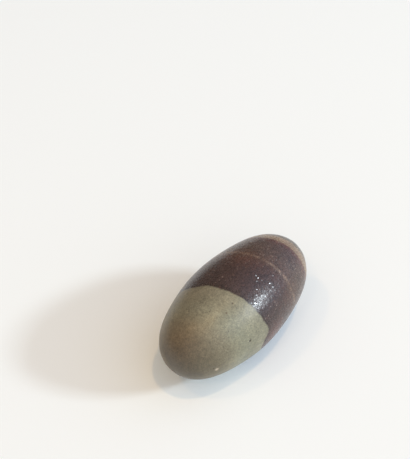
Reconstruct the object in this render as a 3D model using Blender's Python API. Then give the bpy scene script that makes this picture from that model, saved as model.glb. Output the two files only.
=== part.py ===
# Shiva lingam stone: one river stone, rounded by the water and finished by
# hand to a blunt, nearly regular egg. It is a single solid with no joints.
#
# It lies along X with its paler, grey end towards -X. The plane Z = 0 is the
# surface that it rests on, and the origin is below the middle of its length.

import math

import bmesh
import bpy
from mathutils import Vector

# Driving dimensions, in metres.
LENGTH = 0.060
WAIST_RADIUS = 0.01503
REST_SPOT_DEPTH = 0.00022

# The outline is a power curve: 2 gives an ellipse, more gives blunter ends.
GREY_END_BLUNTNESS = 2.22
BROWN_END_BLUNTNESS = 2.19

# Hand grinding left broad, low swells along the stone and a section that is
# not quite round.
SWELL_HEIGHT = 0.0002
SWELL_SPACING = 0.0285
SWELL_CENTRE = -0.0016
OVALNESS = 0.00016
OVAL_TURN = math.radians(20.0)

# Facet counts of the turned body.
STATIONS = 46
SEGMENTS = 72

# Principled values of the main, iron-brown part of the stone.
STONE_COLOUR = (0.105, 0.072, 0.060, 1.0)
STONE_ROUGHNESS = 0.42

HALF_LENGTH = LENGTH / 2


def remove_scene_objects():
    for item in list(bpy.data.objects):
        bpy.data.objects.remove(item, do_unlink=True)


def station_positions():
    # Equal turns around the outline put the stations closer at both tips.
    for step in range(STATIONS + 1):
        yield -HALF_LENGTH * math.cos(math.pi * step / STATIONS)


def outline_radius(x):
    power = GREY_END_BLUNTNESS if x < 0 else BROWN_END_BLUNTNESS
    reach = min(1.0, abs(x) / HALF_LENGTH)
    egg = (1.0 - reach ** power) ** (1.0 / power)
    swell = SWELL_HEIGHT * math.cos(math.tau * (x - SWELL_CENTRE) / SWELL_SPACING)
    return WAIST_RADIUS * egg + swell * math.sqrt(egg)


def turn_outline(mesh):
    outline = [mesh.verts.new((x, 0.0, outline_radius(x))) for x in station_positions()]
    edges = [mesh.edges.new(pair) for pair in zip(outline, outline[1:])]
    bmesh.ops.spin(
        mesh,
        geom=outline + edges,
        cent=Vector((0.0, 0.0, 0.0)),
        axis=Vector((1.0, 0.0, 0.0)),
        angle=math.tau,
        steps=SEGMENTS,
        use_merge=True,
    )
    bmesh.ops.remove_doubles(mesh, verts=mesh.verts, dist=1e-6)


def make_oval(mesh):
    for vert in mesh.verts:
        across = math.hypot(vert.co.y, vert.co.z)
        if across == 0.0:
            continue
        turn = math.atan2(-vert.co.y, vert.co.z) - OVAL_TURN
        grown = 1.0 + OVALNESS * math.sin(2.0 * turn) / WAIST_RADIUS
        vert.co.y *= grown
        vert.co.z *= grown


def set_down(mesh):
    # Lower the stone until its underside dips below Z = 0 by the spot's depth.
    lowest = min(vert.co.z for vert in mesh.verts)
    bmesh.ops.translate(mesh, verts=mesh.verts, vec=(0.0, 0.0, -lowest - REST_SPOT_DEPTH))


def flatten_rest_spot(mesh):
    bmesh.ops.bisect_plane(
        mesh,
        geom=mesh.verts[:] + mesh.edges[:] + mesh.faces[:],
        dist=1e-7,
        plane_co=(0.0, 0.0, 0.0),
        plane_no=(0.0, 0.0, -1.0),
        clear_outer=True,
    )
    rim = [edge for edge in mesh.edges if edge.is_boundary]
    bmesh.ops.holes_fill(mesh, edges=rim, sides=0)
    bmesh.ops.recalc_face_normals(mesh, faces=mesh.faces)


def stone_material():
    material = bpy.data.materials.new("polished_river_stone")
    material.use_nodes = True
    shader = material.node_tree.nodes["Principled BSDF"]
    shader.inputs["Base Color"].default_value = STONE_COLOUR
    shader.inputs["Roughness"].default_value = STONE_ROUGHNESS
    shader.inputs["Metallic"].default_value = 0.0
    return material


def build_stone():
    mesh = bmesh.new()
    turn_outline(mesh)
    make_oval(mesh)
    set_down(mesh)
    flatten_rest_spot(mesh)
    data = bpy.data.meshes.new("lingam_stone")
    mesh.to_mesh(data)
    mesh.free()
    data.shade_smooth()
    data.set_sharp_from_angle(angle=math.radians(30.0))
    data.materials.append(stone_material())
    stone = bpy.data.objects.new("lingam_stone", data)
    bpy.context.scene.collection.objects.link(stone)
    return stone


remove_scene_objects()
build_stone()
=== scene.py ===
import math
import bpy
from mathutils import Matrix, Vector, noise


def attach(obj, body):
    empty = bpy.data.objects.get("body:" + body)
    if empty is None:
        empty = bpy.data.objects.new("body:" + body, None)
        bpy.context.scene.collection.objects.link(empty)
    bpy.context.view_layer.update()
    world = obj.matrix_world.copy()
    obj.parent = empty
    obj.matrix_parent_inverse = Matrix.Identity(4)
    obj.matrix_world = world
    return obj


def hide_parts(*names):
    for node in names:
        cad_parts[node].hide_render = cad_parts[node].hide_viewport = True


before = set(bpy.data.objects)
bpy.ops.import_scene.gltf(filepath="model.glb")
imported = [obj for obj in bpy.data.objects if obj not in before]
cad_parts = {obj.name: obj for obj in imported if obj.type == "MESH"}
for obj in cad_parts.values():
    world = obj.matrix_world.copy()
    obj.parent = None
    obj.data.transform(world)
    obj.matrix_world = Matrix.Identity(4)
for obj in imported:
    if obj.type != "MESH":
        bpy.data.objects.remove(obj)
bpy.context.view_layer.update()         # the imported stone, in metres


def linearColour(hexColour):
    # sRGB hex to the linear values that sockets take
    parts = [int(hexColour[i:i + 2], 16) / 255 for i in (1, 3, 5)]
    return [p / 12.92 if p <= 0.04045 else ((p + 0.055) / 1.055) ** 2.4 for p in parts] + [1.0]


def addNode(tree, kind, inputs=None, stops=None, **settings):
    # one node with its settings, ramp stops and input values or links
    node = tree.nodes.new(kind)
    for name, value in settings.items():
        setattr(node, name, value)
    if stops:
        ramp = node.color_ramp
        while len(ramp.elements) < len(stops):
            ramp.elements.new(0.5)
        for element, (position, hexColour) in zip(ramp.elements, stops):
            element.position = position
            element.color = linearColour(hexColour)
    for socket, value in (inputs or {}).items():
        if isinstance(value, bpy.types.Node):
            value = value.outputs[0]
        if isinstance(value, bpy.types.NodeSocket):
            tree.links.new(value, node.inputs[socket])
        else:
            node.inputs[socket].default_value = value
    return node


# The stone, in mm and degrees. A place on it is mm along its axis and a turn from its top.
# River-tumbled chalcedony, rubbed smooth by hand and waxed: the tight quartz grain takes a soft
# satin polish, the wax film blurs the lamps, and pulled grains sparkle round the window's light.
stone = {
    # a blunt egg along X, turned round its long axis
    "length": 60.0, "waistRadius": 15.03,
    "greyEndBluntness": 2.22, "brownEndBluntness": 2.19,
    "swellHeight": 0.2, "swellSpacing": 28.5, "swellCentre": -1.6,     # left by hand shaping
    "ovalness": 0.16, "ovalTurn": 20.0,
    "restSpotDepth": 0.22, "smoothFoot": 0.8,  # the relief fades in over this height from the paper
    "cellsAround": 104, "cellsAlong": 180,     # mesh cells to a quarter of the girth, and along
    "uvSides": 0.60, "uvMargin": 0.004,        # the sides' share of the UV square, and its gaps
    # waves that the river and the polishing left: width, height in the grey and in the brown, and
    # where their noise starts
    "waves": [(9.0, 0.05, 0.05, (4.1, 2.7, 9.3)), (2.4, 0.014, 0.014, (31.0, 5.5, 0.4)),
              (0.85, 0.006, 0.030, (7.7, 1.3, 2.9))],
    # spacing, radius, depth, share of places with a pit in the grey and in the brown
    "pits": [(0.95, 0.40, 0.045, 0.08, 0.60), (2.10, 0.62, 0.090, 0.01, 0.35)],
    "smallestPit": 0.30,                       # as a share of the radius
    "pitDraw": (57.3, 0.0), "pitSizeDraw": (93.7, 3.0),     # scatter and start of random draws
    # single pits: place, turn, radius, depth
    "markPits": [
        (-11.6, 76.4, 0.55, 0.28), (-23.0, 95.5, 0.75, 0.12), (-24.0, 89.7, 0.40, 0.12),
        (-10.2, 25.6, 0.32, 0.10),
    ],
    # the layers cross the stone nearly as flat sheets, and the grey ends at a place along their
    # normal; the colour turns brown over one width there, and the relief over another
    "layerNormal": (1.0, 0.3024, -0.0594),
    "greyEdge": -9.76, "greyEdgeWidth": 0.3, "reliefEdgeWidth": 1.0,
    # how the sheets wander, as silt does, and fray at their edges: width, reach, noise detail
    "wanders": [(5.0, 0.9, 3.0), (0.8, 0.35, 2.0)],
    # where the sheets bend: place, turn, reach, how far they are moved
    "bends": [(-4.3, 80, 5.0, -0.9), (-6.3, 97, 5.0, 0.9), (-12.3, -35, 6.0, 0.3),
              (10.6, 62, 12.0, 1.1), (9.0, 19, 5.0, 0.35), (21.2, 66, 10.0, 1.1)],
    # colour of each layer, by its place along the normal
    "colours": [
        (-30.0, "#4f4638"), (-26.5, "#5d5342"), (-23.0, "#6d6452"), (-20.5, "#746e5c"),
        (-17.5, "#757160"), (-15.0, "#726d5c"), (-12.0, "#777160"), (-9.95, "#756f5e"),
        (-9.62, "#352722"), (-8.2, "#3b2b29"), (1.0, "#3e2b27"), (4.5, "#472f28"),
        (6.4, "#4a342a"), (9.0, "#4d3930"), (11.5, "#4a3932"), (16.5, "#4b3833"),
        (18.9, "#54302a"), (19.5, "#7f6a56"), (21.5, "#87705c"), (22.8, "#806b57"),
        (23.3, "#463c32"), (25.5, "#52473a"),
    ],
    # the vein is strongest within its core, a share of its width, and its patches run from faint
    # to strong where their noise is between the two levels
    "veinPlace": 7.2, "veinWidth": 1.5, "veinCore": 0.2, "veinColour": "#806a5a",
    "veinPatch": 2.2, "veinLevels": (0.40, 0.66), "veinStrengths": (0.20, 0.80),
    # the grey turns paler and greener towards its -Y side, between these places across it
    "paleTint": (1.17, 1.24, 1.20), "paleFrom": 3.0, "paleTo": -10.0,
    # stains and painted shade: place, turn, reach, colour, strength
    # the first, a redder patch on the top of the brown, is partly a real stain and partly painted
    # shade
    "stainsAndShade": [(6.0, -8.0, 8.0, "#593424", 0.25), (-27.0, 8.0, 9.0, "#6e5136", 0.20),
               (-1.0, 98.0, 7.0, "#6e3f38", 0.45)],
    # quartz grain is about 0.1 mm, too fine for the picture, so it is drawn 3 to 4 times coarser;
    # each pattern has its width, its depth in the grey and in the brown, and its noise detail
    "patterns": [(7.0, 0.12, 0.12, 2.0), (1.0, 0.20, 0.34, 3.0), (0.36, 0.26, 0.34, 1.0)],
    "patternLevels": (0.28, 0.72),             # the noise seldom leaves these
    # grains and painted glints: spacing, radius, colour, strength, share in the grey, share in the
    # brown before and beyond the vein, where the share changes between two places along the normal
    "grainsAndGlints": [
        # the pale dots are partly real pale grains and partly painted glints where pits catch the
        # light
        (0.72, 0.30, "#8c7c73", 0.85, 0.0, 0.15, 0.60),
        (1.25, 0.42, "#6a4640", 0.45, 0.0, 0.30, 0.35),
        (1.30, 0.27, "#332c25", 0.75, 0.35, 0.25, 0.42),
    ],
    "grainsBefore": 2.0, "grainsBeyond": 12.0,
    "grainCore": 0.35,                         # a dot is full within this share of its radius
    # single marks: place, turn, radius, colour
    "marks": [
        (-11.6, 76.4, 0.62, "#3f382c"), (-23.0, 95.5, 0.80, "#b0a18c"),
        (-24.0, 89.7, 0.45, "#4a3f2e"), (-10.2, 25.6, 0.40, "#4d4536"),
        (-13.6, 28.5, 0.40, "#5a523f"), (-22.5, 88.0, 0.35, "#4f4533"),
    ],
    "markSoftness": 0.7,
    # the brown is polished finer than the grey, and both vary with the grain
    "greyRoughness": 0.43, "brownRoughness": 0.30, "greySpread": 0.40, "brownSpread": 1.00,
    "quartzIor": 1.54, "specularLevel": 0.42,
    "waxWeight": 0.26, "waxRoughness": 0.38, "waxIor": 1.45,
    "rippleWidth": 0.62, "greyRipple": 0.012, "brownRipple": 0.020,    # fine bump, mm high
    # pulled grains leave small flat faces: width, share of cells that have one, steepest slope
    "faceWidth": 0.42, "faceShare": 0.60, "faceSlope": 0.075,
    # larger chips that broke along one direction: its heading and height, then place, turn, radius
    "chipFacing": (-96, 45), "chipSoftness": 0.15,
    "chips": [
        (2.1, 21.9, 0.28), (1.9, 25.4, 0.26), (2.3, 29.8, 0.26), (0.7, 27.1, 0.24),
        (6.6, 35.2, 0.30), (9.7, 38.1, 0.24), (3.7, 38.5, 0.32), (-1.4, 33.4, 0.24),
        (3.8, 44.3, 0.28), (4.7, 56.8, 0.22),
    ],
}


def direction(heading, height):
    # the unit vector at so many degrees round from +X and up from level
    heading, height = math.radians(heading), math.radians(height)
    return Vector((math.cos(height) * math.cos(heading), math.cos(height) * math.sin(heading),
                   math.sin(height)))


def radiusAt(x):
    # from the axis to the surface: two half eggs, with the swell on them
    half = stone["length"] / 2
    power = stone["greyEndBluntness"] if x < 0 else stone["brownEndBluntness"]
    egg = max(0.0, 1 - min(1.0, abs(x) / half) ** power) ** (1 / power)
    swell = math.cos(math.tau * (x - stone["swellCentre"]) / stone["swellSpacing"])
    return stone["waistRadius"] * egg + stone["swellHeight"] * swell * math.sqrt(egg)


def surfacePoint(x, turn):
    # a point from its place along the axis and its turn from the top, with Z from the axis
    oval = stone["ovalness"] * math.sin(2 * (turn - math.radians(stone["ovalTurn"])))
    radius = radiusAt(x) * (1 + oval / stone["waistRadius"])
    return Vector((x, -radius * math.sin(turn), radius * math.cos(turn)))


def outwardNormal(point):
    # square to the plain egg, so without its swell and its ovalness
    half = stone["length"] / 2
    power = stone["greyEndBluntness"] if point.x < 0 else stone["brownEndBluntness"]
    radial = math.hypot(point.y, point.z)
    along = math.copysign((abs(point.x) / half) ** (power - 1) / half, point.x)
    across = (radial / stone["waistRadius"]) ** (power - 1) / stone["waistRadius"]
    if radial < 1e-6:
        return Vector((math.copysign(1.0, point.x), 0.0, 0.0))
    return Vector((along, across * point.y / radial, across * point.z / radial)).normalized()


markPits = [(surfacePoint(x, math.radians(turn)), radius, depth)
            for x, turn, radius, depth in stone["markPits"]]


def bowl(reach):
    # a round-edged hollow: 1 in its middle and 0 from its rim outwards
    return (1 - reach * reach) ** 2 if reach < 1 else 0.0


def drawAt(centre, scatter, start):
    # a random number from 0 to 1 that stays with one pit
    return 0.5 + 0.5 * noise.cell(centre * scatter + Vector((start, start, start)))


def reliefAt(point):
    fromEdge = point.dot(Vector(stone["layerNormal"])) - stone["greyEdge"]
    brown = min(1.0, max(0.0, 0.5 + fromEdge / stone["reliefEdgeWidth"]))
    height = 0.0
    for width, greyHeight, brownHeight, start in stone["waves"]:
        waveHeight = greyHeight + (brownHeight - greyHeight) * brown
        height += waveHeight * noise.noise(point / width + Vector(start))
    smallest = stone["smallestPit"]
    for spacing, radius, depth, greyShare, brownShare in stone["pits"]:
        distances, centres = noise.voronoi(point / spacing)
        share = greyShare + (brownShare - greyShare) * brown
        if drawAt(centres[0], *stone["pitDraw"]) < share:
            size = smallest + (1 - smallest) * drawAt(centres[0], *stone["pitSizeDraw"])
            height -= depth * size * bowl(distances[0] * spacing / (radius * size))
    for centre, radius, depth in markPits:
        height -= depth * bowl((point - centre).length / radius)
    return height


def buildStone():
    around, along = stone["cellsAround"], stone["cellsAlong"]
    half = stone["length"] / 2
    # the lowest point of the egg lies near the middle of its underside
    places = [0.05 * i for i in range(-120, 121)]
    turns = [math.pi + 0.01 * i for i in range(-20, 21)]
    lowest = min(surfacePoint(x, turn).z for x in places for turn in turns)
    lift = -lowest - stone["restSpotDepth"]
    # four side patches and two end patches of a cube, each blown out to the stone's shape:
    # first axis, second axis, outward axis, cells along each, and the UV cell of the patch
    sides, margin = stone["uvSides"], stone["uvMargin"]
    ends = 1 - sides
    patches = [
        ((1, 0, 0), (0, 1, 0), (0, 0, 1), along, around, (0.0, 0.00, sides, 0.25)),
        ((1, 0, 0), (0, 0, 1), (0, -1, 0), along, around, (0.0, 0.25, sides, 0.25)),
        ((1, 0, 0), (0, -1, 0), (0, 0, -1), along, around, (0.0, 0.50, sides, 0.25)),
        ((1, 0, 0), (0, 0, -1), (0, 1, 0), along, around, (0.0, 0.75, sides, 0.25)),
        ((0, 1, 0), (0, 0, 1), (1, 0, 0), around, around, (sides, 0.0, ends, 0.5)),
        ((0, -1, 0), (0, 0, 1), (-1, 0, 0), around, around, (sides, 0.5, ends, 0.5)),
    ]
    vertices, faces, corners, known = [], [], [], {}

    def vertexFor(key, cubePoint):
        # neighbouring patches share the corners on their common edge
        if key not in known:
            ray = cubePoint.normalized()
            point = surfacePoint(half * ray.x, math.atan2(-ray.y, ray.z))
            foot = min(1.0, max(0.0, (point.z + lift) / stone["smoothFoot"]))
            place = point + outwardNormal(point) * reliefAt(point) * foot
            known[key] = len(vertices)
            vertices.append((place.x / 1000, place.y / 1000, max(0.0, place.z + lift) / 1000))
        return known[key]

    for first, second, out, countA, countB, (u0, v0, wide, high) in patches:
        first, second, out = Vector(first), Vector(second), Vector(out)
        outCount = around if out.x == 0 else along
        grid = []
        for i in range(countA + 1):
            row = []
            for j in range(countB + 1):
                key = out * outCount + first * (2 * i - countA) + second * (2 * j - countB)
                cubePoint = (out + first * math.tan(math.radians(90 * i / countA - 45)) +
                             second * math.tan(math.radians(90 * j / countB - 45)))
                row.append(vertexFor((round(key.x), round(key.y), round(key.z)), cubePoint))
            grid.append(row)
        for i in range(countA):
            for j in range(countB):
                faces.append((grid[i][j], grid[i + 1][j], grid[i + 1][j + 1], grid[i][j + 1]))
                for a, b in ((i, j), (i + 1, j), (i + 1, j + 1), (i, j + 1)):
                    corners.append((u0 + margin + (wide - 2 * margin) * a / countA,
                                    v0 + margin + (high - 2 * margin) * b / countB))
    mesh = bpy.data.meshes.new("shivaLingamStone")
    mesh.from_pydata(vertices, [], faces)
    mesh.validate()
    layer = mesh.uv_layers.new(name="OFBake")
    layer.data.foreach_set("uv", [value for corner in corners for value in corner])
    mesh.shade_smooth()
    mesh.update()
    piece = bpy.data.objects.new("shivaLingamStone", mesh)
    bpy.context.scene.collection.objects.link(piece)
    return piece, lift


stonePiece, axisHeight = buildStone()
print("stone built:", len(stonePiece.data.polygons), "faces, axis", round(axisHeight, 3), "mm up")


def near(tree, spot, x, turn, reach, softness=1.0):
    # 1 at a point of the surface, and 0 from its reach outwards
    away = addNode(tree, "ShaderNodeVectorMath",
                   {0: spot, 1: surfacePoint(x, math.radians(turn))}, operation="DISTANCE")
    return addNode(tree, "ShaderNodeMapRange",
                   {"Value": away.outputs["Value"], "From Min": reach,
                    "From Max": reach * (1 - softness)}, interpolation_type="SMOOTHSTEP")


def placeAcrossLayers(tree, spot):
    # how far a point lies along the layers' normal, once they have wandered, frayed and bent
    layer = addNode(tree, "ShaderNodeVectorMath", {0: spot, 1: stone["layerNormal"]},
                    operation="DOT_PRODUCT").outputs["Value"]
    for width, reach, detail in stone["wanders"]:
        wave = addNode(tree, "ShaderNodeTexNoise",
                       {"Vector": spot, "Scale": 1 / width, "Detail": detail})
        shift = addNode(tree, "ShaderNodeMath", {0: wave, 1: 0.5}, operation="SUBTRACT")
        layer = addNode(tree, "ShaderNodeMath", {0: shift, 1: reach * 2, 2: layer},
                        operation="MULTIPLY_ADD")
    for x, turn, reach, push in stone["bends"]:
        layer = addNode(tree, "ShaderNodeMath",
                        {0: near(tree, spot, x, turn, reach), 1: push, 2: layer},
                        operation="MULTIPLY_ADD")
    return layer


def layerColours(tree, spot, layer, brown):
    # the bands, from the grey end to the brown one
    half = stone["length"] / 2
    across = addNode(tree, "ShaderNodeMapRange",
                     {"Value": layer, "From Min": -half, "From Max": half})
    colour = addNode(tree, "ShaderNodeValToRGB", {"Fac": across},
                     stops=[(0.5 + mm / stone["length"], shade) for mm, shade in stone["colours"]])

    # the vein, a thin pale line that is pinched and broken in places
    offset = addNode(tree, "ShaderNodeMath", {0: layer, 1: stone["veinPlace"]},
                     operation="SUBTRACT")
    away = addNode(tree, "ShaderNodeMath", {0: offset}, operation="ABSOLUTE")
    halfWidth = stone["veinWidth"] / 2
    line = addNode(tree, "ShaderNodeMapRange",
                   {"Value": away, "From Min": halfWidth,
                    "From Max": halfWidth * stone["veinCore"]}, interpolation_type="SMOOTHSTEP")
    patches = addNode(tree, "ShaderNodeTexNoise",
                      {"Vector": spot, "Scale": 1 / stone["veinPatch"], "Detail": 4.0,
                       "Roughness": 0.7})
    low, high = stone["veinLevels"]
    faint, strong = stone["veinStrengths"]
    strength = addNode(tree, "ShaderNodeMapRange",
                       {"Value": patches, "From Min": low, "From Max": high, "To Min": faint,
                        "To Max": strong})
    veined = addNode(tree, "ShaderNodeMath", {0: line, 1: strength}, operation="MULTIPLY")
    colour = addNode(tree, "ShaderNodeMix",
                     {0: veined, 6: colour, 7: linearColour(stone["veinColour"])},
                     data_type="RGBA").outputs[2]

    # the grey's pale side, then the stains, the first of them partly painted shade
    side = addNode(tree, "ShaderNodeSeparateXYZ", {0: spot}).outputs["Y"]
    pale = addNode(tree, "ShaderNodeMapRange",
                   {"Value": side, "From Min": stone["paleFrom"], "From Max": stone["paleTo"]},
                   interpolation_type="SMOOTHSTEP")
    notBrown = addNode(tree, "ShaderNodeMath", {0: 1.0, 1: brown}, operation="SUBTRACT")
    palest = addNode(tree, "ShaderNodeMath", {0: pale, 1: notBrown}, operation="MULTIPLY")
    tinted = addNode(tree, "ShaderNodeVectorMath", {0: colour, 1: stone["paleTint"]},
                     operation="MULTIPLY")
    colour = addNode(tree, "ShaderNodeMix", {0: palest, 6: colour, 7: tinted},
                     data_type="RGBA").outputs[2]
    for x, turn, reach, shade, amount in stone["stainsAndShade"]:
        stainAndShade = addNode(tree, "ShaderNodeMath",
                          {0: near(tree, spot, x, turn, reach), 1: amount}, operation="MULTIPLY")
        colour = addNode(tree, "ShaderNodeMix", {0: stainAndShade, 6: colour, 7: linearColour(shade)},
                         data_type="RGBA").outputs[2]
    return colour


def grainAndGlintColours(tree, spot, layer, brown, colour):
    # clouds, mottling and fine grain lighten and darken the layers
    low, high = stone["patternLevels"]
    for width, greyDepth, brownDepth, detail in stone["patterns"]:
        pattern = addNode(tree, "ShaderNodeTexNoise",
                          {"Vector": spot, "Scale": 1 / width, "Detail": detail, "Roughness": 0.6})
        wave = addNode(tree, "ShaderNodeMapRange",
                       {"Value": pattern, "From Min": low, "From Max": high, "To Min": -1.0})
        depth = addNode(tree, "ShaderNodeMath", {0: brown, 1: brownDepth - greyDepth, 2: greyDepth},
                        operation="MULTIPLY_ADD")
        light = addNode(tree, "ShaderNodeMath", {0: wave, 1: depth, 2: 1.0},
                        operation="MULTIPLY_ADD")
        colour = addNode(tree, "ShaderNodeVectorMath", {0: colour, "Scale": light.outputs[0]},
                         operation="SCALE")

    # round grains, one in some of the cells; the pale ones are partly painted glints
    beyondVein = addNode(tree, "ShaderNodeMapRange",
                         {"Value": layer, "From Min": stone["grainsBefore"],
                          "From Max": stone["grainsBeyond"]})
    for spacing, radius, shade, amount, greyShare, nearShare, farShare in stone["grainsAndGlints"]:
        share = addNode(tree, "ShaderNodeMath",
                        {0: beyondVein, 1: farShare - nearShare, 2: nearShare - greyShare},
                        operation="MULTIPLY_ADD")
        share = addNode(tree, "ShaderNodeMath", {0: brown, 1: share, 2: greyShare},
                        operation="MULTIPLY_ADD")
        cells = addNode(tree, "ShaderNodeTexVoronoi", {"Vector": spot, "Scale": 1 / spacing})
        dot = addNode(tree, "ShaderNodeMapRange",
                      {"Value": cells.outputs["Distance"], "From Min": radius / spacing,
                       "From Max": radius / spacing * stone["grainCore"], "To Max": amount})
        draw = addNode(tree, "ShaderNodeSeparateXYZ", {0: cells.outputs["Color"]})
        chosen = addNode(tree, "ShaderNodeMath", {0: draw, 1: share}, operation="LESS_THAN")
        faded = addNode(tree, "ShaderNodeMath", {0: dot, 1: draw.outputs["Y"]},
                        operation="MULTIPLY")
        grainAndGlint = addNode(tree, "ShaderNodeMath", {0: faded, 1: chosen}, operation="MULTIPLY")
        colour = addNode(tree, "ShaderNodeMix", {0: grainAndGlint, 6: colour, 7: linearColour(shade)},
                         data_type="RGBA").outputs[2]
    for x, turn, radius, shade in stone["marks"]:
        mark = near(tree, spot, x, turn, radius, stone["markSoftness"])
        colour = addNode(tree, "ShaderNodeMix", {0: mark, 6: colour, 7: linearColour(shade)},
                         data_type="RGBA").outputs[2]
    return colour


def handPolish(tree, spot, brown):
    # the roughness, which goes up and down with the grain
    grainWidth = stone["patterns"][-1][0]
    fine = addNode(tree, "ShaderNodeTexNoise",
                   {"Vector": spot, "Scale": 1 / grainWidth, "Detail": 2.0, "Roughness": 0.6})
    spread = addNode(tree, "ShaderNodeMath", {0: fine, 1: 0.5}, operation="SUBTRACT")
    polish = addNode(tree, "ShaderNodeMath",
                     {0: brown, 1: stone["brownRoughness"] - stone["greyRoughness"],
                      2: stone["greyRoughness"]}, operation="MULTIPLY_ADD")
    reach = addNode(tree, "ShaderNodeMath",
                    {0: brown, 1: stone["brownSpread"] - stone["greySpread"],
                     2: stone["greySpread"]}, operation="MULTIPLY_ADD")
    return addNode(tree, "ShaderNodeMath", {0: spread, 1: reach, 2: polish},
                   operation="MULTIPLY_ADD", use_clamp=True)


def fineSurface(tree, spot, brown):
    # ripples everywhere, in mm as all the heights here
    ripples = addNode(tree, "ShaderNodeTexNoise",
                      {"Vector": spot, "Scale": 1 / stone["rippleWidth"], "Detail": 1.0})
    rippleHeight = addNode(tree, "ShaderNodeMath",
                           {0: brown, 1: stone["brownRipple"] - stone["greyRipple"],
                            2: stone["greyRipple"]}, operation="MULTIPLY_ADD")
    height = addNode(tree, "ShaderNodeMath", {0: ripples, 1: rippleHeight}, operation="MULTIPLY")

    # the small tilted faces of pulled grains, in the brown alone
    cells = addNode(tree, "ShaderNodeTexVoronoi",
                    {"Vector": spot, "Scale": 1 / stone["faceWidth"]})
    tilt = addNode(tree, "ShaderNodeVectorMath", {0: cells.outputs["Color"], 1: (0.5, 0.5, 0.5)},
                   operation="SUBTRACT")
    fromMiddle = addNode(tree, "ShaderNodeVectorMath", {0: spot, 1: cells.outputs["Position"]},
                         operation="SUBTRACT")
    slope = addNode(tree, "ShaderNodeVectorMath", {0: tilt, 1: fromMiddle},
                    operation="DOT_PRODUCT").outputs["Value"]
    draw = addNode(tree, "ShaderNodeTexWhiteNoise", {"Vector": cells.outputs["Position"]})
    chosen = addNode(tree, "ShaderNodeMath", {0: draw.outputs["Value"], 1: stone["faceShare"]},
                     operation="LESS_THAN")
    steepness = addNode(tree, "ShaderNodeMath", {0: chosen, 1: stone["faceSlope"] * 2},
                        operation="MULTIPLY")
    onlyBrown = addNode(tree, "ShaderNodeMath", {0: steepness, 1: brown}, operation="MULTIPLY")
    height = addNode(tree, "ShaderNodeMath", {0: slope, 1: onlyBrown, 2: height},
                     operation="MULTIPLY_ADD")

    # the chips, each a flat that leans until it faces their common direction
    facing = direction(*stone["chipFacing"])
    for x, turn, radius in stone["chips"]:
        centre = surfacePoint(x, math.radians(turn))
        upright = outwardNormal(centre)
        lean = (upright * facing.dot(upright) - facing) / facing.dot(upright)
        fromCentre = addNode(tree, "ShaderNodeVectorMath", {0: spot, 1: centre},
                             operation="SUBTRACT")
        rise = addNode(tree, "ShaderNodeVectorMath", {0: fromCentre, 1: lean},
                       operation="DOT_PRODUCT").outputs["Value"]
        chip = near(tree, spot, x, turn, radius, stone["chipSoftness"])
        height = addNode(tree, "ShaderNodeMath", {0: chip, 1: rise, 2: height},
                         operation="MULTIPLY_ADD")
    return addNode(tree, "ShaderNodeBump", {"Height": height, "Strength": 1.0, "Distance": 0.001})


def stoneMaterial():
    material = bpy.data.materials.new("waxedRiverChalcedony")
    material.use_nodes = True
    tree = material.node_tree
    tree.nodes.clear()
    place = addNode(tree, "ShaderNodeTexCoord")
    inMm = addNode(tree, "ShaderNodeVectorMath", {0: place.outputs["Object"], "Scale": 1000.0},
                   operation="SCALE")
    spot = addNode(tree, "ShaderNodeVectorMath", {0: inMm, 1: (0, 0, axisHeight)},
                   operation="SUBTRACT")
    layer = placeAcrossLayers(tree, spot)
    brown = addNode(tree, "ShaderNodeMapRange",
                    {"Value": layer, "From Min": stone["greyEdge"] - stone["greyEdgeWidth"] / 2,
                     "From Max": stone["greyEdge"] + stone["greyEdgeWidth"] / 2})
    colour = layerColours(tree, spot, layer, brown)
    colour = grainAndGlintColours(tree, spot, layer, brown, colour)
    bump = fineSurface(tree, spot, brown)
    shader = addNode(tree, "ShaderNodeBsdfPrincipled",
                     {"Base Color": colour, "Roughness": handPolish(tree, spot, brown),
                      "IOR": stone["quartzIor"], "Specular IOR Level": stone["specularLevel"],
                      "Coat Weight": stone["waxWeight"], "Coat Roughness": stone["waxRoughness"],
                      "Coat IOR": stone["waxIor"], "Normal": bump, "Coat Normal": bump})
    addNode(tree, "ShaderNodeOutputMaterial", {"Surface": shader})
    print("stone material made:", len(tree.nodes), "nodes")
    return material


stonePiece.data.materials.append(stoneMaterial())
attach(stonePiece, "root")
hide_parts("lingam_stone")
print("stone finished")

# Matt white paper under the stone, in a pale room with one window and three warm lamps.
setting = {
    "paper": "#eff5f9", "paperRoughness": 0.9, "paperIor": 1.3,
    "paperWidth": 3.0,                     # m
    "roomBase": 0.185, "roomCeiling": 0.21, "roomColour": "#fff4e1",
    # pale walls that throw light back, the second one daylit: heading, height, strength, colour
    "walls": [(-138, 20, 0.97, "#fffaf2"), (-48, 20, 0.90, "#a8d0ff"), (132, 20, 0.05, "#ffffff")],
    "wallFalloff": 2.0,
    # name, heading, height in degrees, m away, wide, high, watts, colour
    "lights": [
        ("windowLight", -58.5, 26.5, 2.4, 0.40, 0.20, 30.0, "#ecf8ff"),
        ("ceilingLamp", -95, 78.5, 1.6, 0.08, 0.08, 4.1, "#ffcf8e"),
        ("smallLamp", 143.4, 63.8, 1.6, 0.08, 0.08, 1.8, "#ffcb81"),
        ("farLamp", -170, 55.6, 1.6, 0.08, 0.08, 1.1, "#ffce95"),
    ],
    "lightsAim": (0, 0, 0.012),            # m
}


def paperMaterial():
    # matt paper: a soft even white with no shine
    material = bpy.data.materials.new("mattWhitePaper")
    material.use_nodes = True
    shader = material.node_tree.nodes["Principled BSDF"]
    shader.inputs["Base Color"].default_value = linearColour(setting["paper"])
    shader.inputs["Roughness"].default_value = setting["paperRoughness"]
    shader.inputs["IOR"].default_value = setting["paperIor"]
    return material


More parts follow.
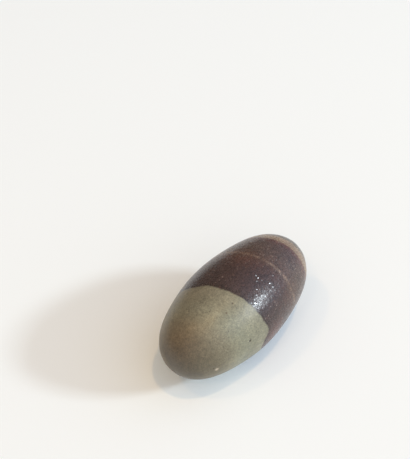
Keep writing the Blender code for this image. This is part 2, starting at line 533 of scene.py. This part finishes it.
def addPaper():
    half = setting["paperWidth"] / 2
    mesh = bpy.data.meshes.new("paperFloor")
    mesh.from_pydata([(-half, -half, 0), (half, -half, 0), (half, half, 0), (-half, half, 0)], [],
                     [(0, 1, 2, 3)])
    mesh.materials.append(paperMaterial())
    floor = bpy.data.objects.new("paperFloor", mesh)
    bpy.context.scene.collection.objects.link(floor)


def addRoom():
    room = bpy.data.worlds.new("paleRoom")
    bpy.context.scene.world = room
    room.use_nodes = True
    tree = room.node_tree
    tree.nodes.clear()
    place = addNode(tree, "ShaderNodeTexCoord")
    axes = addNode(tree, "ShaderNodeSeparateXYZ", {0: place.outputs["Generated"]})
    glow = addNode(tree, "ShaderNodeMath",
                   {0: axes.outputs["Z"], 1: setting["roomCeiling"], 2: setting["roomBase"]},
                   operation="MULTIPLY_ADD")
    glow = addNode(tree, "ShaderNodeVectorMath",
                   {0: linearColour(setting["roomColour"])[:3], "Scale": glow.outputs[0]},
                   operation="SCALE")
    for heading, height, strength, shade in setting["walls"]:
        facing = addNode(tree, "ShaderNodeVectorMath",
                         {0: place.outputs["Generated"], 1: direction(heading, height)},
                         operation="DOT_PRODUCT")
        lit = addNode(tree, "ShaderNodeMath", {0: facing.outputs["Value"], 1: 0.0},
                      operation="MAXIMUM")
        spread = addNode(tree, "ShaderNodeMath", {0: lit, 1: setting["wallFalloff"]},
                         operation="POWER")
        wallLight = [strength * part for part in linearColour(shade)[:3]]
        glow = addNode(tree, "ShaderNodeVectorMath", {0: spread, 1: wallLight, 2: glow},
                       operation="MULTIPLY_ADD")
    light = addNode(tree, "ShaderNodeBackground", {"Color": glow, "Strength": 1.0})
    addNode(tree, "ShaderNodeOutputWorld", {"Surface": light})


def addLights():
    for name, heading, height, away, wide, high, watts, colour in setting["lights"]:
        data = bpy.data.lights.new(name, "AREA")
        data.shape = "RECTANGLE"
        data.size, data.size_y = wide, high
        data.energy = watts
        data.color = linearColour(colour)[:3]
        lamp = bpy.data.objects.new(name, data)
        towards = direction(heading, height)
        lamp.location = Vector(setting["lightsAim"]) + towards * away
        lamp.rotation_euler = towards.to_track_quat("Z", "Y").to_euler()
        bpy.context.scene.collection.objects.link(lamp)


addPaper()
addRoom()
addLights()
bpy.context.scene.view_settings.view_transform = "Standard"
print("paper, room and", len(setting["lights"]), "lights in place")

# The camera stands over the grey end's near side and looks down across the stone.
cameraPlace = {
    "location": (-0.169592, -0.119133, 0.236814),
    "turn": (47.269, 0.0, -52.376),        # degrees
    "sensor": 36.0,                        # mm
    "focalPixels": 1000, "imagePixels": 459,        # its view, from the long side of the image
    "clipStart": 0.01,                     # m
}


def addCamera():
    data = bpy.data.cameras.new("mainCamera")
    data.sensor_fit = "AUTO"
    data.sensor_width = cameraPlace["sensor"]
    data.lens = cameraPlace["sensor"] * cameraPlace["focalPixels"] / cameraPlace["imagePixels"]
    data.clip_start = cameraPlace["clipStart"]
    camera = bpy.data.objects.new("mainCamera", data)
    camera.location = cameraPlace["location"]
    camera.rotation_euler = [math.radians(angle) for angle in cameraPlace["turn"]]
    bpy.context.scene.collection.objects.link(camera)
    bpy.context.scene.camera = camera


addCamera()
print("camera in place")
